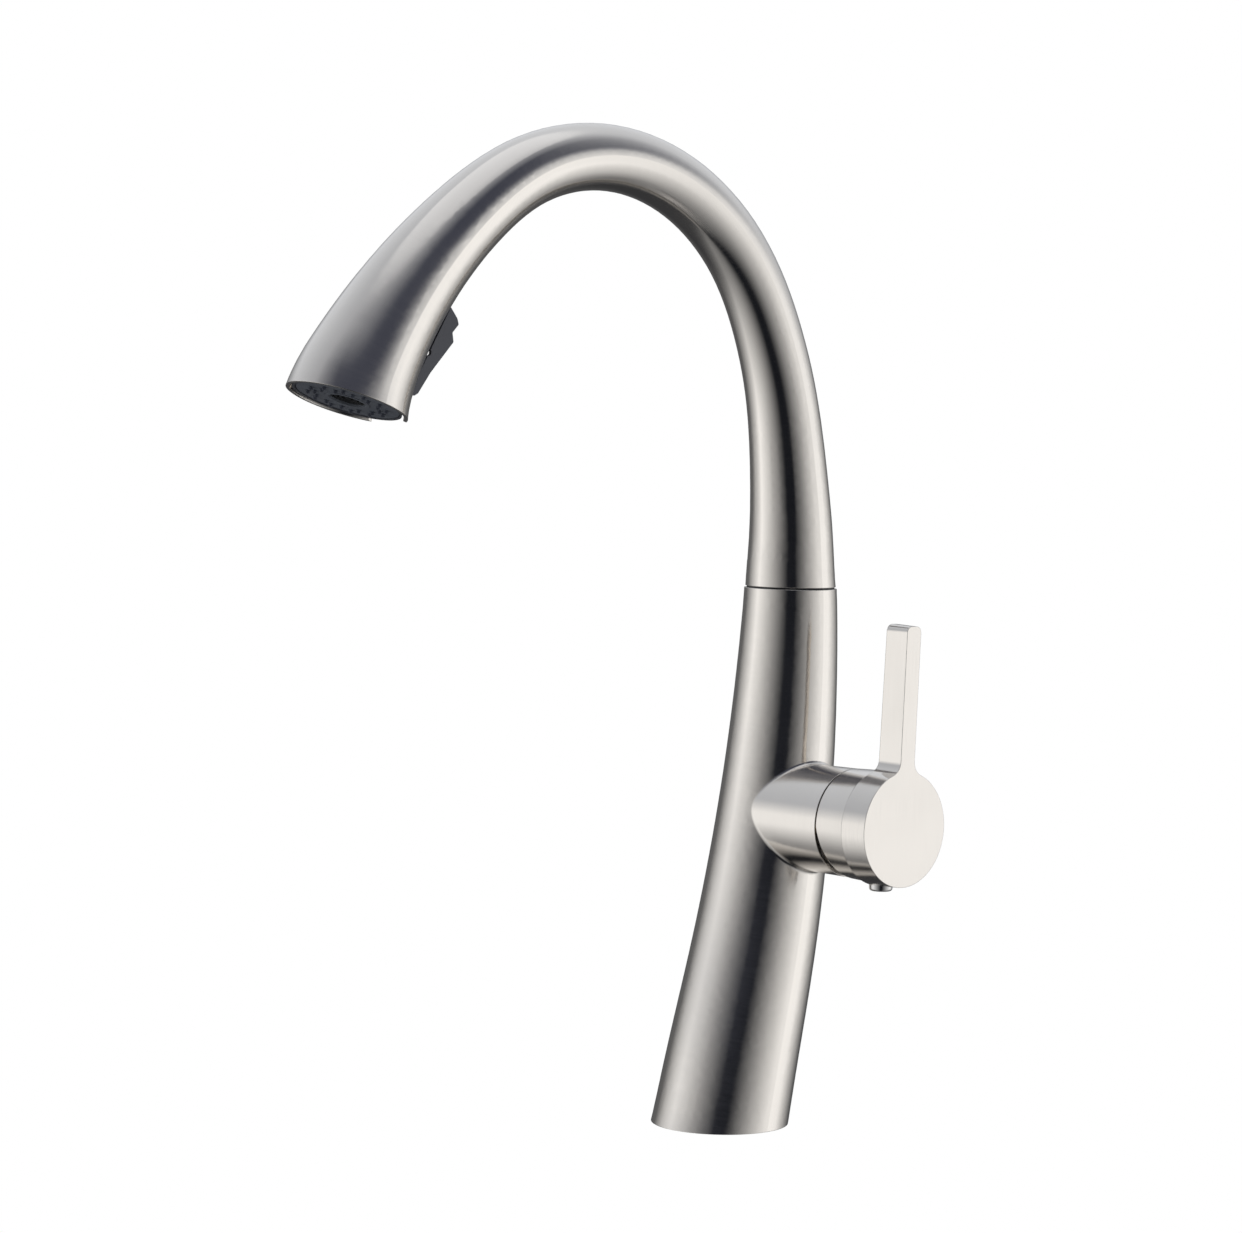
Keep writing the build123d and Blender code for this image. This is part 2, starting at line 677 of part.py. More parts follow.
def nozzle_pad():
    """Rubber sheet behind the face with soft nozzles that stand through it."""
    pad = Pos(0, 0, 4.4) * Cylinder(FACE_RADIUS - 0.2, 1.9)
    pad -= Pos(0, 0, 4.4) * Cylinder(AERATOR_RADIUS + 0.1, 5)
    for x, y in nozzle_places():
        pad += Pos(x, y, 1.8) * Cone(NOZZLE_TIP, NOZZLE_RADIUS, 4.0)
        pad -= Pos(x, y, 2.5) * Cylinder(0.4, 8)
    return face_place() * pad


def aerator_housing():
    cup = Pos(0, 0, 4.0) * Cylinder(AERATOR_RADIUS, 6.6) - Pos(0, 0, 3.2) * Cylinder(7.2, 6.0)
    return face_place() * (cup - Pos(0, 0, 5) * Cylinder(3.0, 8))


def aerator_insert():
    """Three rings on a cross, which break the stream up."""
    insert = Pos(0, 0, 3.6) * Cylinder(1.2, 4.0)
    for radius in (3.4, 5.3, 7.1):
        insert += Pos(0, 0, 3.6) * (Cylinder(radius, 4.0) - Cylinder(radius - 0.8, 5))
    insert += Pos(0, 0, 4.6) * (Box(13.4, 0.8, 2.0) + Box(0.8, 13.4, 2.0))
    return face_place() * insert


def flow_divider():
    """Disc behind the nozzles that parts the spray water from the stream."""
    divider = mouth_ring(7.5, 8.9, FACE_RADIUS - 0.1) - head_cylinder(0, 20, 3.0)
    for i in range(6):
        divider -= Rot(0, 0, i * 60) * Pos(13.5, 0, 8) * Cylinder(1.6, 16)
    return divider


def diverter_spool():
    spool = Pos(0, 8.8, SPOOL_AT) * Rot(90, 0, 0) * Cylinder(2.55, 8.0)
    stalk = Pos(0, 13.9, SPOOL_AT) * Rot(90, 0, 0) * Cylinder(1.4, 7.6)
    for y in (6.6, 10.6):
        groove = Pos(0, y, SPOOL_AT) * Rot(90, 0, 0)
        spool -= groove * (Cylinder(3, 1.4) - Cylinder(1.75, 2))
    return spool + stalk


def spool_seals():
    rings = []
    for y in (6.6, 10.6):
        rings.append(Pos(0, y, SPOOL_AT) * Rot(90, 0, 0) * Torus(2.1, 0.33))
    return Compound(rings)


def hose_coupling():
    """Brass end of the hose, screwed into the back of the head."""
    spigot = head_cylinder(HEAD_BACK - 5.2, HEAD_BACK + 0.4, 6.05, COUPLING_OFFSET)
    nut = Pos(0, COUPLING_OFFSET, HEAD_BACK + 3.6) * extrude(RegularPolygon(7.6, 6), 3.2, both=True)
    ferrule = head_cylinder(HEAD_BACK + 6.7, COUPLING_BACK, 6.3, COUPLING_OFFSET)
    bore = head_cylinder(HEAD_BACK - 8, COUPLING_BACK + 1, 4.1, COUPLING_OFFSET)
    return spigot + nut + ferrule - bore


def check_valve():
    """Cartridge in the coupling that stops water running back."""
    shell = head_cylinder(HEAD_BACK - 5, COUPLING_BACK - 1, 4.05, COUPLING_OFFSET)
    return shell - head_cylinder(HEAD_BACK - 6, COUPLING_BACK - 4, 3.0, COUPLING_OFFSET)


def coupling_washer():
    ring = head_cylinder(HEAD_BACK - 6.5, HEAD_BACK - 5.25, 6.0, COUPLING_OFFSET)
    return ring - head_cylinder(HEAD_BACK - 8, HEAD_BACK, 3.7, COUPLING_OFFSET)


PARTS = {
    "body_shell": body_shell,
    "base_insert": base_insert,
    "base_gasket": lambda: gasket_groove(0.1),
    "valve_manifold": valve_manifold,
    "cartridge_base": cartridge_base,
    "port_seals": port_seals,
    "fixed_disc": fixed_disc,
    "moving_disc": moving_disc,
    "disc_carrier": disc_carrier,
    "cartridge_housing": cartridge_housing,
    "cartridge_rotor": cartridge_rotor,
    "stem_pin": lambda: cross_pin(1.5, 20.0),
    "stem": stem,
    "cartridge_nut": cartridge_nut,
    "dome_ring": dome_ring,
    "handle": handle,
    "set_screw": set_screw,
    "screw_plug": screw_plug,
    "swivel_sleeve": swivel_sleeve,
    "sleeve_seals": sleeve_seals,
    "slip_ring": slip_ring,
    "snap_ring": snap_ring,
    "spout_collar": spout_collar,
    "spout_shell": spout_shell,
    "dock_liner": dock_liner,
    "pull_hose": pull_hose,
}
HEAD_PARTS = {
    "spray_body": spray_body,
    "spray_face": spray_face,
    "nozzle_pad": nozzle_pad,
    "aerator_housing": aerator_housing,
    "aerator_insert": aerator_insert,
    "flow_divider": flow_divider,
    "diverter_spool": diverter_spool,
    "spool_seals": spool_seals,
    "hose_coupling": hose_coupling,
    "check_valve": check_valve,
    "coupling_washer": coupling_washer,
    "rocker_pin": rocker_pin,
    "rocker_button": rocker_button,
}


def main():
    os.makedirs("parts", exist_ok=True)
    for name in PIPES:
        export_step(supply_tube(name), f"parts/{name}.step")
    for name, make in PARTS.items():
        export_step(make(), f"parts/{name}.step")
    for name, make in HEAD_PARTS.items():
        export_step(HEAD * make(), f"parts/{name}.step")


main()
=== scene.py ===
"""Looks of the pull-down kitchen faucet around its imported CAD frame, in metres."""

import json
from math import cos, pi, radians, sin

import bpy
import numpy as np
from mathutils import Matrix, Vector

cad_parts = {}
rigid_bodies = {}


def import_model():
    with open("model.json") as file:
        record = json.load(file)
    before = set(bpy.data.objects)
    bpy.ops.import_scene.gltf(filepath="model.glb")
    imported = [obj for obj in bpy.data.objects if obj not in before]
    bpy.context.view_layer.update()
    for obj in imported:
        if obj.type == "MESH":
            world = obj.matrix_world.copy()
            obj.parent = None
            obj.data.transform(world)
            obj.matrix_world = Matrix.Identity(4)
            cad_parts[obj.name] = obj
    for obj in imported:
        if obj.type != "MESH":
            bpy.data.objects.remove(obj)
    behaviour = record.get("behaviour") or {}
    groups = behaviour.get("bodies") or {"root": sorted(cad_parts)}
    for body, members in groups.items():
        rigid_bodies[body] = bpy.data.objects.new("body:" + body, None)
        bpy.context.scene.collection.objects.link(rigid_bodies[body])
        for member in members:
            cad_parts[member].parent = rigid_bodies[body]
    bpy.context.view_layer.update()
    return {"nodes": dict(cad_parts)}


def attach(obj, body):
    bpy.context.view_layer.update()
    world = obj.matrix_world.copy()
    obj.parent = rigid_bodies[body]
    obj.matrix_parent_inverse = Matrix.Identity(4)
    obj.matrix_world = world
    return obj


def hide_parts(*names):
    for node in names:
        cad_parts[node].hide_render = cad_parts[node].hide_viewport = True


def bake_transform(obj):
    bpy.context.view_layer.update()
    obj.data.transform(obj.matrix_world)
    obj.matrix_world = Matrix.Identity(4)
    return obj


# Spine of the faucet in the YZ plane: each stretch is (length, turn in degrees)
BODY_LEAN = -13.65
BODY_STRETCHES = [(0.058, 0.0), (0.1666, 13.65)]
SPOUT_STRETCHES = [(0.0681, 10.0), (0.0558, 18.76), (0.165, 96.44), (0.0927, 24.42), (0.015, 11.66)]
SAMPLE_STEP = 0.001

# Valve branch and handle, along +X
VALVE_Y = 0.0271
VALVE_Z = 0.1273
BRANCH_START = 0.008
BRANCH_REACH = 0.0226

# Spray head: its line of travel and the hose
PULL_LEAN = 150.0
COUPLING_OFFSET = 0.004
COUPLING_BACK = 0.064
HOSE_RADIUS = 0.0055
HOSE_STRETCHES = [
    (0.0192, -18.35),
    (0.0246, -6.45),
    (0.1662, -96.44),
    (0.0565, -18.76),
    (0.0684, -10.0),
]
HOSE_LOWER_BEND = (0.1671, -13.65)
HOSE_FOOT = 0.002
HOSE_STRETCH_START = 0.017
HOSE_GAP = 0.0005
HOSE_STRANDS = 12.0
WEAVE_PITCH = 0.0021

# Camera: where it stands about the faucet and what it looks at
CAMERA_AZIMUTH = 47.79
CAMERA_PITCH = 3.145
CAMERA_ROLL = 1.341
CAMERA_DISTANCE = 1.45
CAMERA_LENS = 102.1
LOOK_HEIGHT = 0.2
LOOK_RIGHT = -0.04572
LOOK_UP = 0.00856

# Light tent: angles in degrees to the right of the camera, and the colours of its parts
BACK_SHIFT = 7.0
PANEL_ANGLE = 28.0
OPENING_COLOUR = (0.008, 0.009, 0.012)
SIDE_COLOUR = (1.0, 1.0, 1.0)
ROOF_FRONT_COLOUR = (0.17, 0.175, 0.195)
ROOF_BACK_COLOUR = (0.72, 0.75, 0.80)
PANEL_COLOUR = (0.05, 0.054, 0.075)
LAMP_SIZE = 1.4
LAMP_HEIGHT = 1.7
LAMP_POWER = 1.2

# Faces that point more than this far along X count as flat, and spine rows searched at once
FLAT_FACE = 0.7
CHUNK = 4000

# Faces of the spray head that take a lighter copy of the slate plastic: painted light standing in for the
# dim light that reaches them from below
BRIGHTENED_FACE_NODES = ("spray_face", "aerator_housing")


# ---------------------------------------------------------------- curves
def walk(start, stretches, distance):
    """Reach, height and lean after a distance along straight and circular stretches."""
    reach, height, lean = start
    for length, turn in stretches:
        step = min(distance, length)
        angle = turn * step / length
        chord = step
        if angle:
            chord = 2 * step / radians(angle) * sin(radians(angle / 2))
        middle = radians(lean + angle / 2)
        reach += chord * sin(middle)
        height += chord * cos(middle)
        lean += angle
        distance -= step
    return reach, height, lean


def total(stretches):
    return sum(length for length, turn in stretches)


SPINE_START = (0.0, 0.0, BODY_LEAN)
SPINE = BODY_STRETCHES + SPOUT_STRETCHES
MOUTH = walk(SPINE_START, SPINE, total(SPINE))


def spine_samples():
    """Points along the spine as rows of y, z, lean in radians and distance."""
    rows = []
    for distance in np.arange(0, total(SPINE) + SAMPLE_STEP, SAMPLE_STEP):
        reach, height, lean = walk(SPINE_START, SPINE, float(distance))
        rows.append((-reach, height, radians(lean), distance))
    return np.array(rows)


# ---------------------------------------------------------------- brushed grain
# Each corner of a brushed mesh carries two vectors.  "grain" is a place whose Z runs
# across the brush lines, and "across" is the direction of that Z in the object's space.
def corner_places(mesh):
    places = np.zeros(len(mesh.vertices) * 3)
    mesh.vertices.foreach_get("co", places)
    corners = np.zeros(len(mesh.loops), dtype=int)
    mesh.loops.foreach_get("vertex_index", corners)
    return places.reshape(-1, 3)[corners]


def per_corner(mesh, values):
    """Values of the faces, repeated for each corner of the face."""
    counts = np.zeros(len(mesh.polygons), dtype=int)
    mesh.polygons.foreach_get("loop_total", counts)
    return np.repeat(values, counts, axis=0)


def face_vectors(mesh, kind):
    values = np.zeros(len(mesh.polygons) * 3)
    mesh.polygons.foreach_get(kind, values)
    return values.reshape(-1, 3)


def around_spine(places):
    """Grain that runs around the spine, for the body and the spout."""
    spine = spine_samples()
    nearest = np.zeros(len(places), dtype=int)
    for start in range(0, len(places), CHUNK):
        chunk = places[start : start + CHUNK]
        gap = (chunk[:, None, 1] - spine[None, :, 0]) ** 2 + (chunk[:, None, 2] - spine[None, :, 1]) ** 2
        nearest[start : start + CHUNK] = gap.argmin(1)
    at = spine[nearest]
    across = np.stack([np.zeros(len(at)), -np.sin(at[:, 2]), np.cos(at[:, 2])], 1)
    offset = np.stack([np.zeros(len(at)), places[:, 1] - at[:, 0], places[:, 2] - at[:, 1]], 1)
    along = at[:, 3] + (offset * across).sum(1)
    side = offset[:, 1] * np.cos(at[:, 2]) + offset[:, 2] * np.sin(at[:, 2])
    return np.stack([places[:, 0], side, along], 1), across


def along_axis(places, axis):
    """Grain whose lines lie across one of the axes X, Y or Z."""
    others = [i for i in range(3) if i != axis]
    grain = places[:, others + [axis]]
    across = np.zeros_like(places)
    across[:, axis] = 1.0
    return grain, across


def store(mesh, grain, across):
    for name, values in (("grain", grain), ("across", across)):
        attribute = mesh.attributes.new(name, "FLOAT_VECTOR", "CORNER")
        attribute.data.foreach_set("vector", np.ascontiguousarray(values, dtype=np.float32).ravel())


def brush_body(obj):
    """Lines around the spine, and around X on the branch."""
    mesh = obj.data
    places = corner_places(mesh)
    grain, across = around_spine(places)
    centres = per_corner(mesh, face_vectors(mesh, "center"))
    sideways = centres[:, 1] - VALVE_Y
    upwards = centres[:, 2] - VALVE_Z
    reach = np.hypot(sideways, upwards)
    on_branch = (centres[:, 0] > BRANCH_START) & (reach < BRANCH_REACH)
    normals = per_corner(mesh, face_vectors(mesh, "normal"))
    radial = (normals[:, 1] * sideways + normals[:, 2] * upwards) / reach
    on_branch &= np.abs(radial) > 0.98
    branch_grain, branch_across = along_axis(places, 0)
    grain[on_branch] = branch_grain[on_branch]
    across[on_branch] = branch_across[on_branch]
    store(mesh, grain, across)


def brush_spout(obj):
    grain, across = around_spine(corner_places(obj.data))
    store(obj.data, grain, across)


def brush_handle(obj):
    """Lines around X on the cap and up the lever and the flat face."""
    mesh = obj.data
    places = corner_places(mesh)
    grain, across = along_axis(places, 0)
    normals = per_corner(mesh, face_vectors(mesh, "normal"))
    flat = np.abs(normals[:, 0]) > FLAT_FACE
    flat_grain, flat_across = along_axis(places, 1)
    grain[flat] = flat_grain[flat]
    across[flat] = flat_across[flat]
    store(mesh, grain, across)


# ---------------------------------------------------------------- material helpers
def node(tree, kind, inputs=None, **settings):
    """A new node with its settings, and with its inputs set or linked."""
    made = tree.nodes.new(kind)
    for key, value in settings.items():
        setattr(made, key, value)
    for key, value in (inputs or {}).items():
        if isinstance(value, bpy.types.NodeSocket):
            tree.links.new(value, made.inputs[key])
        else:
            made.inputs[key].default_value = value
    return made


def start_material(name, metallic, roughness):
    material = bpy.data.materials.new(name)
    material.use_nodes = True
    shader = material.node_tree.nodes["Principled BSDF"]
    shader.inputs["Metallic"].default_value = metallic
    shader.inputs["Roughness"].default_value = roughness
    return material, material.node_tree, shader


def noise(tree, place, scale, detail=2.0):
    """Noise over a place, stretched by a scale for each axis."""
    mapped = node(tree, "ShaderNodeMapping", {"Vector": place, "Scale": scale})
    made = node(tree, "ShaderNodeTexNoise", {"Vector": mapped.outputs[0], "Scale": 1.0, "Detail": detail})
    return made.outputs["Fac"]


def spread(tree, value, low, high, start=0.3, end=0.7):
    """A value remapped from its usual span to another."""
    inputs = {"Value": value, "From Min": start, "From Max": end, "To Min": low, "To Max": high}
    return node(tree, "ShaderNodeMapRange", inputs).outputs[0]


def tint(tree, value, first, second):
    """A colour between two, by a value."""
    made = node(tree, "ShaderNodeMix", {"Factor": value}, data_type="RGBA")
    made.inputs["A"].default_value = (*first, 1)
    made.inputs["B"].default_value = (*second, 1)
    return made.outputs["Result"]


def math(tree, operation, first, second=0.0):
    return node(tree, "ShaderNodeMath", {0: first, 1: second}, operation=operation).outputs[0]


def dot(tree, first, second):
    inputs = {0: first, 1: second}
    return node(tree, "ShaderNodeVectorMath", inputs, operation="DOT_PRODUCT").outputs["Value"]


def bump(tree, height, distance, strength=1.0, normal=None):
    inputs = {"Height": height, "Distance": distance, "Strength": strength}
    if normal:
        inputs["Normal"] = normal
    return node(tree, "ShaderNodeBump", inputs).outputs[0]


def object_place(tree):
    return node(tree, "ShaderNodeTexCoord").outputs["Object"]


def link(tree, value, shader, name):
    tree.links.new(value, shader.inputs[name])


# ---------------------------------------------------------------- materials
def brushed_steel(name, colour, dark, roughness, edge):
    """Satin stainless steel with fine brush lines that stretch its highlights."""
    material, tree, shader = start_material(name, 1.0, roughness)
    grain = node(tree, "ShaderNodeAttribute", attribute_name="grain").outputs["Vector"]
    across = node(tree, "ShaderNodeAttribute", attribute_name="across").outputs["Vector"]
    turned = node(
        tree,
        "ShaderNodeVectorTransform",
        {"Vector": across},
        vector_type="VECTOR",
        convert_from="OBJECT",
        convert_to="WORLD",
    )
    link(tree, turned.outputs[0], shader, "Tangent")
    shader.inputs["Anisotropic"].default_value = 0.8
    fine = noise(tree, grain, (70, 70, 5200), 3.0)
    streaks = noise(tree, grain, (14, 14, 1100), 2.0)
    cloud = noise(tree, grain, (35, 35, 30), 2.0)
    lines = math(tree, "MULTIPLY_ADD", fine, 0.5)
    mixed = math(tree, "ADD", lines, math(tree, "MULTIPLY", streaks, 0.35))
    link(tree, tint(tree, spread(tree, mixed, 0.0, 1.0, 0.25, 0.62), dark, colour), shader, "Base Color")
    patches = spread(tree, cloud, roughness - 0.02, roughness + 0.03)
    link(tree, math(tree, "ADD", spread(tree, fine, -0.03, 0.05), patches), shader, "Roughness")
    rounded = node(tree, "ShaderNodeBevel", {"Radius": edge}, samples=6).outputs[0]
    link(tree, bump(tree, mixed, 0.000014, 0.5, rounded), shader, "Normal")
    return material


def turned_metal(name, colour, dark, roughness):
    """Machined or drawn metal with light tool marks and a few duller patches."""
    material, tree, shader = start_material(name, 1.0, roughness)
    place = object_place(tree)
    marks = noise(tree, place, (900, 900, 3600), 3.0)
    patches = noise(tree, place, (90, 90, 90), 3.0)
    link(tree, tint(tree, spread(tree, patches, 0.0, 1.0), dark, colour), shader, "Base Color")
    link(tree, spread(tree, patches, roughness + 0.08, roughness - 0.04), shader, "Roughness")
    rounded = node(tree, "ShaderNodeBevel", {"Radius": 0.0002}, samples=4).outputs[0]
    link(tree, bump(tree, marks, 0.00001, 0.5, rounded), shader, "Normal")
    return material


def moulded_plastic(name, colour, dark, roughness):
    """Moulded plastic with a fine spark-eroded texture and edges rubbed smoother."""
    material, tree, shader = start_material(name, 0.0, roughness)
    place = object_place(tree)
    texture = noise(tree, place, (2600, 2600, 2600), 2.0)
    patches = noise(tree, place, (60, 60, 60), 3.0)
    link(tree, tint(tree, spread(tree, patches, 0.0, 1.0), dark, colour), shader, "Base Color")
    worn = spread(tree, patches, roughness, roughness + 0.06)
    link(tree, math(tree, "ADD", spread(tree, texture, -0.05, 0.06), worn), shader, "Roughness")
    rounded = node(tree, "ShaderNodeBevel", {"Radius": 0.0003}, samples=4).outputs[0]
    link(tree, bump(tree, texture, 0.00002, 0.45, rounded), shader, "Normal")
    return material


def rubber(name, colour, dark, roughness):
    """Soft rubber with a faint bloom on it."""
    material, tree, shader = start_material(name, 0.0, roughness)
    place = object_place(tree)
    bloom = noise(tree, place, (140, 140, 140), 4.0)
    link(tree, tint(tree, spread(tree, bloom, 0.0, 1.0), dark, colour), shader, "Base Color")
    link(tree, spread(tree, bloom, roughness + 0.1, roughness - 0.05), shader, "Roughness")
    link(tree, bump(tree, noise(tree, place, (1500, 1500, 1500)), 0.00003, 0.4), shader, "Normal")
    shader.inputs["Sheen Weight"].default_value = 0.15
    return material


def ceramic(name):
    """Lapped white ceramic."""
    material, tree, shader = start_material(name, 0.0, 0.15)
    speckle = noise(tree, object_place(tree), (1200, 1200, 1200), 2.0)
    white = tint(tree, spread(tree, speckle, 0.0, 1.0), (0.74, 0.73, 0.70), (0.84, 0.84, 0.82))
    link(tree, white, shader, "Base Color")
    link(tree, spread(tree, speckle, 0.1, 0.22), shader, "Roughness")
    return material


def braided_hose(name):
    """Woven sleeve: two sets of strands that wind around the hose and cross over."""
    material, tree, shader = start_material(name, 0.0, 0.55)
    place = object_place(tree)
    origin = head_point(0, COUPLING_OFFSET, 0)
    offset = node(tree, "ShaderNodeVectorMath", {0: place, 1: origin}, operation="SUBTRACT").outputs[0]
    parts = []
    for direction in (Vector((1, 0, 0)), HEAD_REAR, HEAD_BACK):
        parts.append(dot(tree, offset, direction))
    around = math(tree, "ARCTAN2", parts[0], parts[1])
    wound = math(tree, "MULTIPLY", around, HOSE_STRANDS)
    along = math(tree, "MULTIPLY", parts[2], 2 * pi / WEAVE_PITCH)
    left = math(tree, "SINE", math(tree, "ADD", along, wound))
    right = math(tree, "SINE", math(tree, "SUBTRACT", along, wound))
    weave = math(tree, "MULTIPLY", left, right)
    fuzz = noise(tree, place, (2500, 2500, 2500), 2.0)
    strands = spread(tree, weave, 0.0, 1.0, -0.6, 0.6)
    link(tree, tint(tree, strands, (0.10, 0.105, 0.115), (0.34, 0.345, 0.36)), shader, "Base Color")
    link(tree, spread(tree, fuzz, 0.42, 0.62), shader, "Roughness")
    height = math(tree, "ADD", weave, math(tree, "MULTIPLY", fuzz, 0.4))
    link(tree, bump(tree, height, 0.00025, 0.7), shader, "Normal")
    return material


def make_materials():
    return {
        "steel": brushed_steel("brushed steel", (0.90, 0.86, 0.81), (0.72, 0.685, 0.645), 0.15, 0.0004),
        "polished_steel": turned_metal("polished steel", (0.86, 0.85, 0.83), (0.72, 0.71, 0.70), 0.1),
        "tube_steel": turned_metal("tube steel", (0.72, 0.71, 0.69), (0.55, 0.54, 0.52), 0.28),
        "brass": turned_metal("brass", (0.78, 0.58, 0.30), (0.62, 0.44, 0.20), 0.27),
        "grey_plastic": moulded_plastic("slate plastic", (0.15, 0.155, 0.18), (0.125, 0.13, 0.152), 0.38),
        # A lighter copy of the slate plastic for the face of the head: painted light that makes up for the
        # dim light from below
        "brightened_face_plastic": moulded_plastic("slate plastic brightened as painted light", (0.24, 0.26, 0.30), (0.20, 0.22, 0.26), 0.42),
        "black_plastic": moulded_plastic("black plastic", (0.03, 0.031, 0.034), (0.02, 0.021, 0.023), 0.4),
        "white_plastic": moulded_plastic("white plastic", (0.78, 0.78, 0.75), (0.70, 0.70, 0.67), 0.35),
        "ceramic": ceramic("ceramic"),
        "rubber": rubber("black rubber", (0.03, 0.03, 0.032), (0.018, 0.018, 0.02), 0.6),
        "nozzle_rubber": rubber("nozzle rubber", (0.12, 0.135, 0.18), (0.09, 0.10, 0.135), 0.45),
        "braided_hose": braided_hose("braided hose"),
    }


def dress(frame, materials):
    """Each CAD node takes the material of its slot, and the face of the head a lighter copy of the slate
    plastic, painted light that makes up for the dim light reaching it from below.
    """
    for obj in frame["nodes"].values():
        for slot in obj.material_slots:
            slot.material = materials[slot.material.name]
    for name in BRIGHTENED_FACE_NODES:
        frame["nodes"][name].material_slots[0].material = materials["brightened_face_plastic"]


# ---------------------------------------------------------------- hose
PULL_BACK = radians(PULL_LEAN - 180)
HEAD_BACK = Vector((0, -sin(PULL_BACK), cos(PULL_BACK)))
HEAD_REAR = Vector((0, cos(PULL_BACK), sin(PULL_BACK)))


def head_point(x, rear, back):
    """A point in the spray head's frame, whose origin is the centre of the mouth."""
    return Vector((x, -MOUTH[0], MOUTH[1])) + HEAD_REAR * rear + HEAD_BACK * back


def hose_start():
    coupling = head_point(0, COUPLING_OFFSET, COUPLING_BACK)
    return (-coupling.y, coupling.z, PULL_LEAN - 180)


def tube(name, start, stretches, distances, radius, sides=32):
    """A round tube along part of a path, closed at both ends, with smooth sides."""
    vertices = []
    for distance in distances:
        reach, height, lean = walk(start, stretches, distance)
        centre = Vector((0, -reach, height))
        side = Vector((0, cos(radians(lean)), sin(radians(lean))))
        for i in range(sides):
            angle = 2 * pi * i / sides
            vertices.append(centre + radius * (cos(angle) * Vector((1, 0, 0)) + sin(angle) * side))
    faces = []
    for ring in range(len(distances) - 1):
        for i in range(sides):
            j = (i + 1) % sides
            low = ring * sides
            faces.append((low + i, low + j, low + sides + j, low + sides + i))
    last = (len(distances) - 1) * sides
    faces.append(tuple(reversed(range(sides))))
    faces.append(tuple(last + i for i in range(sides)))
    mesh = bpy.data.meshes.new(name)
    mesh.from_pydata(vertices, [], faces)
    mesh.shade_smooth()
    obj = bpy.data.objects.new(name, mesh)
    bpy.context.scene.collection.objects.link(obj)
    return obj


def steps(start, end, gap):
    """Evenly spaced distances from start to end, no further apart than a gap."""
    count = max(2, int((end - start) / gap) + 2)
    return [float(at) for at in np.linspace(start, end, count)]


def build_hose(materials):
    """The hose that feeds out behind the head, the hose in the spout and the hose in the body."""
    start = hose_start()
    upper_end = total(HOSE_STRETCHES)
    fed = tube("hose_at_head", start, HOSE_STRETCHES, steps(0.0, HOSE_STRETCH_START, 0.0003), HOSE_RADIUS)
    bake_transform(fed)
    in_spout = steps(HOSE_STRETCH_START, upper_end, 0.004)
    upper = tube("hose_in_spout", start, HOSE_STRETCHES, in_spout, HOSE_RADIUS)
    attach(upper, "spout")
    middle = walk(start, HOSE_STRETCHES, upper_end)
    bend_end = walk(middle, [HOSE_LOWER_BEND], HOSE_LOWER_BEND[0])
    run = (bend_end[1] - HOSE_FOOT) / cos(radians(180 + bend_end[2]))
    stretches = [HOSE_LOWER_BEND, (run, 0.0)]
    in_body = steps(HOSE_GAP, total(stretches), 0.004)
    lower = tube("hose_in_body", middle, stretches, in_body, HOSE_RADIUS)
    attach(lower, "base")
    for piece in (fed, upper, lower):
        piece.data.materials.append(materials["braided_hose"])
        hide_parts("pull_hose")


# ---------------------------------------------------------------- stage
def camera_axes():
    """Right, up and back directions of the camera before its roll."""
    azimuth = radians(CAMERA_AZIMUTH)
    pitch = radians(CAMERA_PITCH)
    right = Vector((cos(azimuth), sin(azimuth), 0))
    back = Vector((sin(azimuth) * cos(pitch), -cos(azimuth) * cos(pitch), sin(pitch)))
    return right, back.cross(right), back


def place_camera():
    right, up, back = camera_axes()
    target = Vector((0, 0, LOOK_HEIGHT)) + right * LOOK_RIGHT + up * LOOK_UP
    roll = radians(CAMERA_ROLL)
    rolled_right = cos(roll) * right + sin(roll) * up
    rolled_up = -sin(roll) * right + cos(roll) * up
    data = bpy.data.cameras.new("camera")
    data.lens = CAMERA_LENS
    data.sensor_width = 36
    data.clip_start = 0.01
    camera = bpy.data.objects.new("camera", data)
    axes = Matrix((rolled_right, rolled_up, back)).transposed()
    camera.matrix_world = Matrix.Translation(target + back * CAMERA_DISTANCE) @ axes.to_4x4()
    bpy.context.scene.collection.objects.link(camera)
    bpy.context.scene.camera = camera


def level_direction(degrees):
    """Level direction at an angle to the right of the one from the faucet to the camera."""
    angle = radians(CAMERA_AZIMUTH - 90 + degrees)
    return Vector((cos(angle), sin(angle), 0))


def tent_sides(tree, level, rise):
    """Glow near eye level: black in front, bright at the sides, dark behind and below."""
    front = dot(tree, level, level_direction(0))
    sides = math(tree, "POWER", spread(tree, front, 0.0, 1.0, 0.985, 0.0), 0.8)
    behind = spread(tree, dot(tree, level, level_direction(BACK_SHIFT)), 0.12, 1.0, -0.85, -0.15)
    depth = math(tree, "ADD", rise, math(tree, "MULTIPLY", front, 0.3))
    below = spread(tree, depth, 0.24, 1.0, -0.85, -0.22)
    return math(tree, "MULTIPLY", math(tree, "MULTIPLY", sides, behind), below)


def dark_panel(tree, level, rise):
    """How much of a dark panel is seen: it hangs in front, above eye level."""
    wide = spread(tree, dot(tree, level, level_direction(PANEL_ANGLE)), 0.0, 1.0, -0.1, 0.7)
    low = spread(tree, rise, 0.0, 1.0, 0.2, 0.45)
    high = spread(tree, rise, 1.0, 0.0, 0.72, 0.97)
    return math(tree, "MULTIPLY", wide, math(tree, "MULTIPLY", low, high))


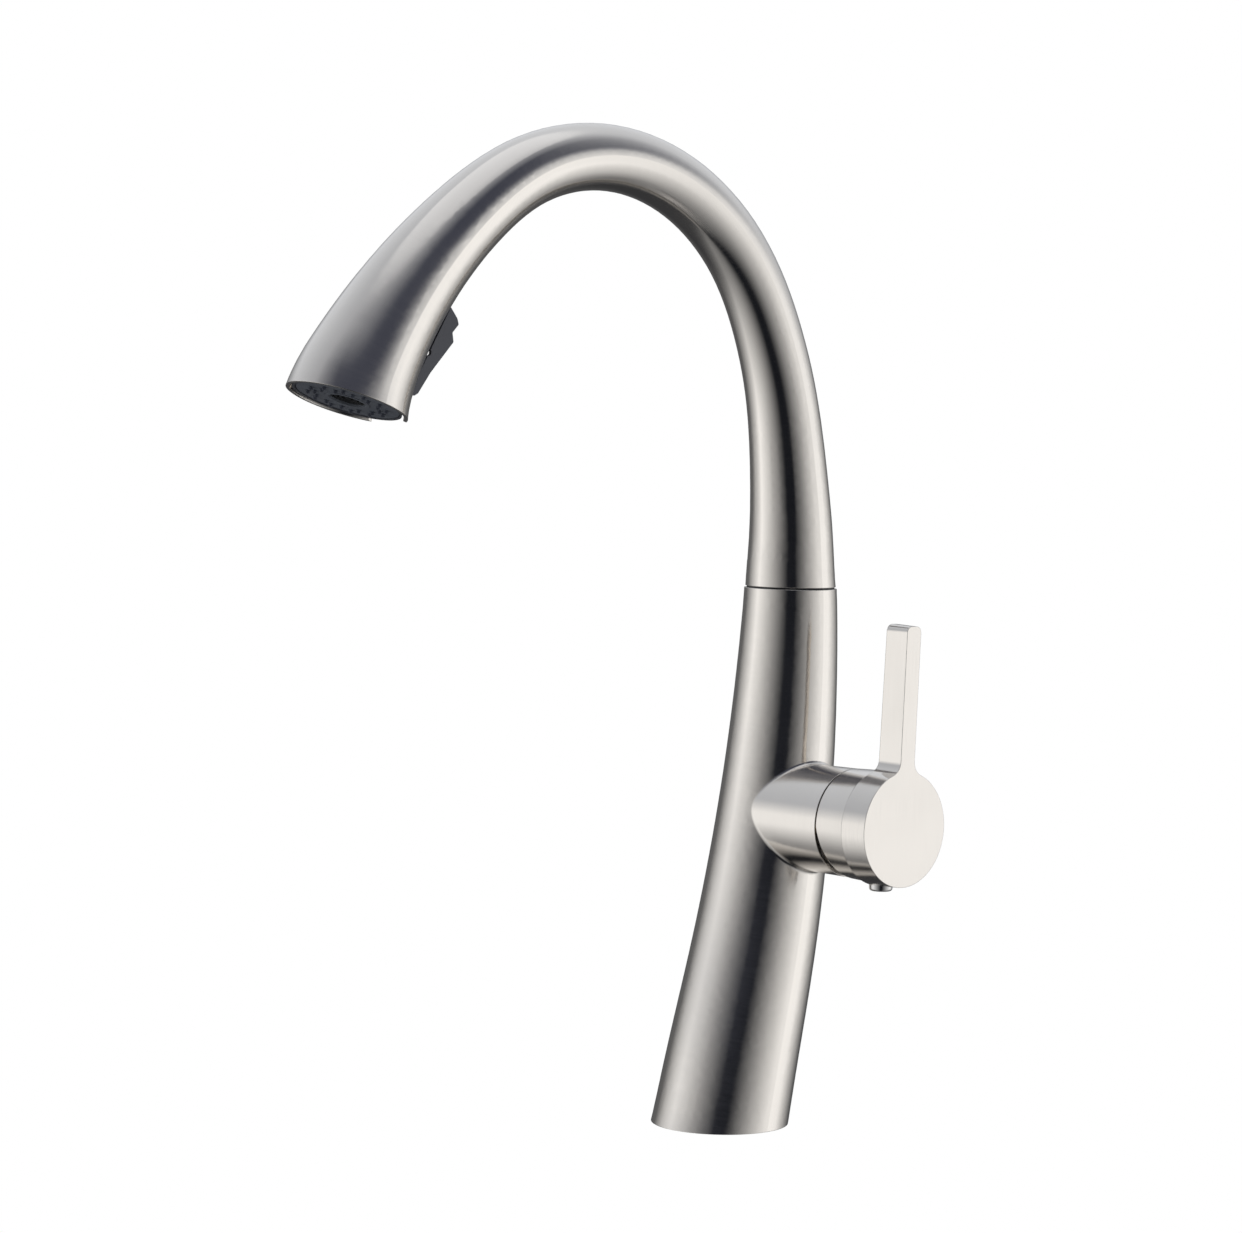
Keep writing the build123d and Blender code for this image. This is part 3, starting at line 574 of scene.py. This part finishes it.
def studio_light():
    """A soft white tent around the faucet, with a dark opening where the camera stands."""
    world = bpy.data.worlds.new("studio")
    bpy.context.scene.world = world
    world.use_nodes = True
    tree = world.node_tree
    tree.nodes.clear()
    direction = node(tree, "ShaderNodeTexCoord").outputs["Generated"]
    flat = node(tree, "ShaderNodeVectorMath", {0: direction, 1: (1, 1, 0)}, operation="MULTIPLY").outputs[0]
    level = node(tree, "ShaderNodeVectorMath", {0: flat}, operation="NORMALIZE").outputs[0]
    rise = node(tree, "ShaderNodeSeparateXYZ", {0: direction}).outputs["Z"]
    sides = tint(tree, tent_sides(tree, level, rise), OPENING_COLOUR, SIDE_COLOUR)
    away = dot(tree, direction, -level_direction(0))
    roof = tint(tree, spread(tree, away, 0.0, 1.0, -1.0, 1.0), ROOF_FRONT_COLOUR, ROOF_BACK_COLOUR)
    climb = math(tree, "ADD", rise, spread(tree, away, -0.2, 0.0, -1.0, 0.0))
    above = spread(tree, climb, 0.0, 1.0, 0.07, 0.38)
    tent = node(tree, "ShaderNodeMix", {"Factor": above}, data_type="RGBA")
    tree.links.new(sides, tent.inputs["A"])
    tree.links.new(roof, tent.inputs["B"])
    shaded = node(tree, "ShaderNodeMix", {"Factor": dark_panel(tree, level, rise)}, data_type="RGBA")
    tree.links.new(tent.outputs["Result"], shaded.inputs["A"])
    shaded.inputs["B"].default_value = (*PANEL_COLOUR, 1)
    lit = node(tree, "ShaderNodeBackground", {"Color": shaded.outputs["Result"], "Strength": 1.0})
    seen = node(tree, "ShaderNodeBackground", {"Color": (1, 1, 1, 1), "Strength": 1.0})
    ray = node(tree, "ShaderNodeLightPath").outputs["Is Camera Ray"]
    mixed = node(tree, "ShaderNodeMixShader", {0: ray, 1: lit.outputs[0], 2: seen.outputs[0]})
    node(tree, "ShaderNodeOutputWorld", {"Surface": mixed.outputs[0]})


def top_light():
    """One large soft light overhead."""
    data = bpy.data.lights.new("overhead", "AREA")
    data.shape = "DISK"
    data.size = LAMP_SIZE
    data.energy = LAMP_POWER
    light = bpy.data.objects.new("overhead", data)
    light.location = (0, 0, LAMP_HEIGHT)
    bpy.context.scene.collection.objects.link(light)


# ---------------------------------------------------------------- build
for leftover in list(bpy.data.objects):
    bpy.data.objects.remove(leftover)
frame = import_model()
looks = make_materials()
brush_body(frame["nodes"]["body_shell"])
brush_spout(frame["nodes"]["spout_shell"])
brush_handle(frame["nodes"]["handle"])
dress(frame, looks)
build_hose(looks)
place_camera()
studio_light()
top_light()
bpy.context.scene.view_settings.view_transform = "Standard"
